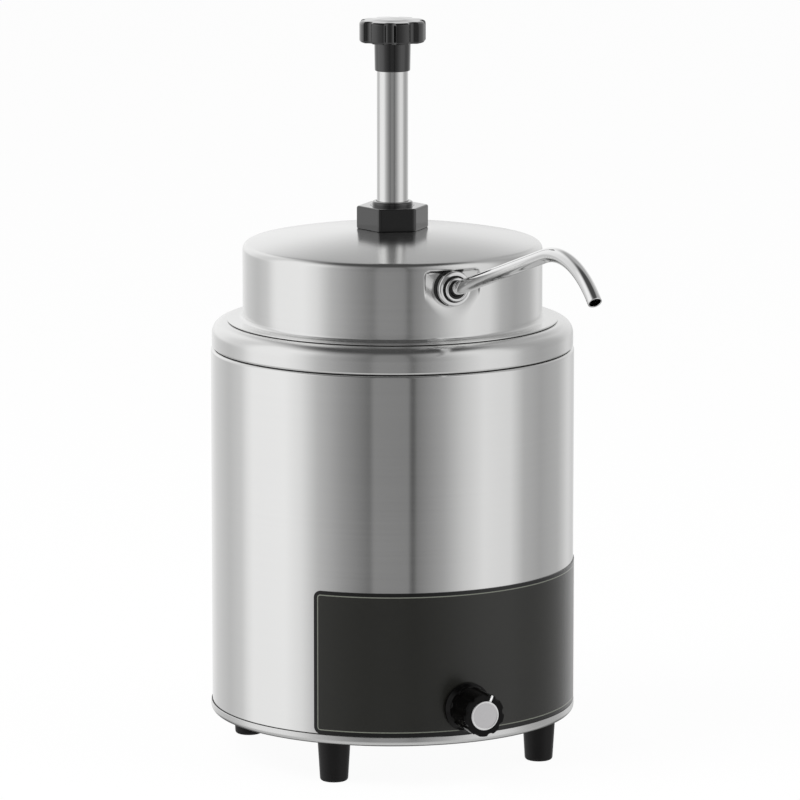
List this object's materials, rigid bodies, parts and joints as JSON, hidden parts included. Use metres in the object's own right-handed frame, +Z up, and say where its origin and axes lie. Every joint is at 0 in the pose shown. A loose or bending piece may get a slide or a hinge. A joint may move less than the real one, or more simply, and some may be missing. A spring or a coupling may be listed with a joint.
{
  "type": "hot fudge topping warmer",
  "caption": "Round countertop topping warmer on rubber feet, with a lift-off lid that carries a push pump and a bent spout, and a dial low on the front.",
  "frame": {"origin": "on the axis of the round body, on the surface that the feet stand on", "axes": "+Z up, the plunger's way out; -Y the front, where the spout and the dial point"},
  "size_m": [0.2115, 0.3891, 0.4286],
  "materials": {
    "polished_steel": "polished stainless sheet",
    "plain_steel": "plain stainless",
    "zinc_steel": "zinc plated",
    "panel_film": "satin printed film",
    "black_rubber": "matt",
    "black_plastic": "gloss black moulding",
    "white_plastic": "natural white moulding",
    "white_paint": "printed line",
    "polished_aluminium": "turned",
    "spreader_aluminium": "mill finish",
    "element_sheath": "oxidised sheath",
    "insulation": "glass fibre mat",
    "copper": "bright copper",
    "brass": "turned",
    "lead_sleeving": "silicone sleeving",
    "silicone": "translucent seal"
  },
  "bodies": {
    "warmer": {"outer_jacket": "polished_steel", "front_panel": "panel_film", "base_pan": "polished_steel", "rubber_feet": "black_rubber", "foot_screws": "zinc_steel", "foot_nuts": "zinc_steel", "pan_brackets": "plain_steel", "pan_screws": "zinc_steel", "water_vessel": "polished_steel", "rim_gasket": "black_rubber", "insulation_sleeve": "insulation", "heat_spreader": "spreader_aluminium", "heating_element": "element_sheath", "element_clamp": "plain_steel", "clamp_stud": "zinc_steel", "clamp_nut": "zinc_steel", "sensing_bulb": "copper", "bulb_clip": "plain_steel", "capillary_tube": "copper", "thermal_cutout": "plain_steel", "thermostat_body": "white_plastic", "thermostat_screws": "zinc_steel", "thermostat_bracket": "plain_steel", "terminal_block": "white_plastic", "terminal_screws": "brass", "heater_leads": "lead_sleeving", "cord_gland": "black_plastic", "gland_nut": "black_plastic"},
    "pump": {"pump_lid": "polished_steel", "spout_gasket": "black_rubber", "spout_ring_nut": "polished_steel", "spout_ferrule": "polished_steel", "spout_bushing": "plain_steel", "spout_lock_nut": "plain_steel", "spout_tube": "polished_steel", "riser_tube": "plain_steel", "riser_nut": "plain_steel", "lock_collar": "black_plastic", "collar_ring": "black_plastic", "wiper_seal": "silicone", "pump_head": "white_plastic", "pump_cylinder": "plain_steel", "spring_seat": "white_plastic", "return_spring": "plain_steel", "valve_body": "white_plastic", "valve_gasket_ring": "silicone", "ball_pins": "plain_steel"},
    "plunger": {"plunger_tube": "polished_steel", "plunger_knob": "black_plastic", "plunger_foot": "white_plastic", "piston_rod": "plain_steel", "piston": "white_plastic", "piston_seal": "silicone", "piston_nut": "plain_steel"},
    "dial": {"control_dial": "black_plastic", "dial_shaft": "zinc_steel", "dial_cap": "polished_aluminium", "dial_pointer": "white_paint"},
    "suction_valve_ball": {"suction_ball": "plain_steel"},
    "discharge_valve_ball": {"discharge_ball": "plain_steel"}
  },
  "joints": [
    {"name": "pump_lift", "type": "slide", "parent": "warmer", "child": "pump", "axis": [0, 0, 1], "range_m": [0, 0.18]},
    {"name": "plunger_stroke", "type": "slide", "parent": "pump", "child": "plunger", "axis": [0, 0, -1], "range_m": [0, 0.0585], "stiffness_N_per_m": 500, "springref_m": -0.03, "deforming": ["return_spring"]},
    {"name": "dial_turn", "type": "hinge", "parent": "warmer", "child": "dial", "pos_m": [0, -0.106, 0.0457], "axis": [0, 1, 0], "range_deg": [-173.5, 126.5]},
    {"name": "suction_lift", "type": "slide", "parent": "pump", "child": "suction_valve_ball", "axis": [0, 0, 1], "range_m": [0, 0.003]},
    {"name": "discharge_lift", "type": "slide", "parent": "pump", "child": "discharge_valve_ball", "axis": [0, 0, 1], "range_m": [0, 0.003]}
  ]
}
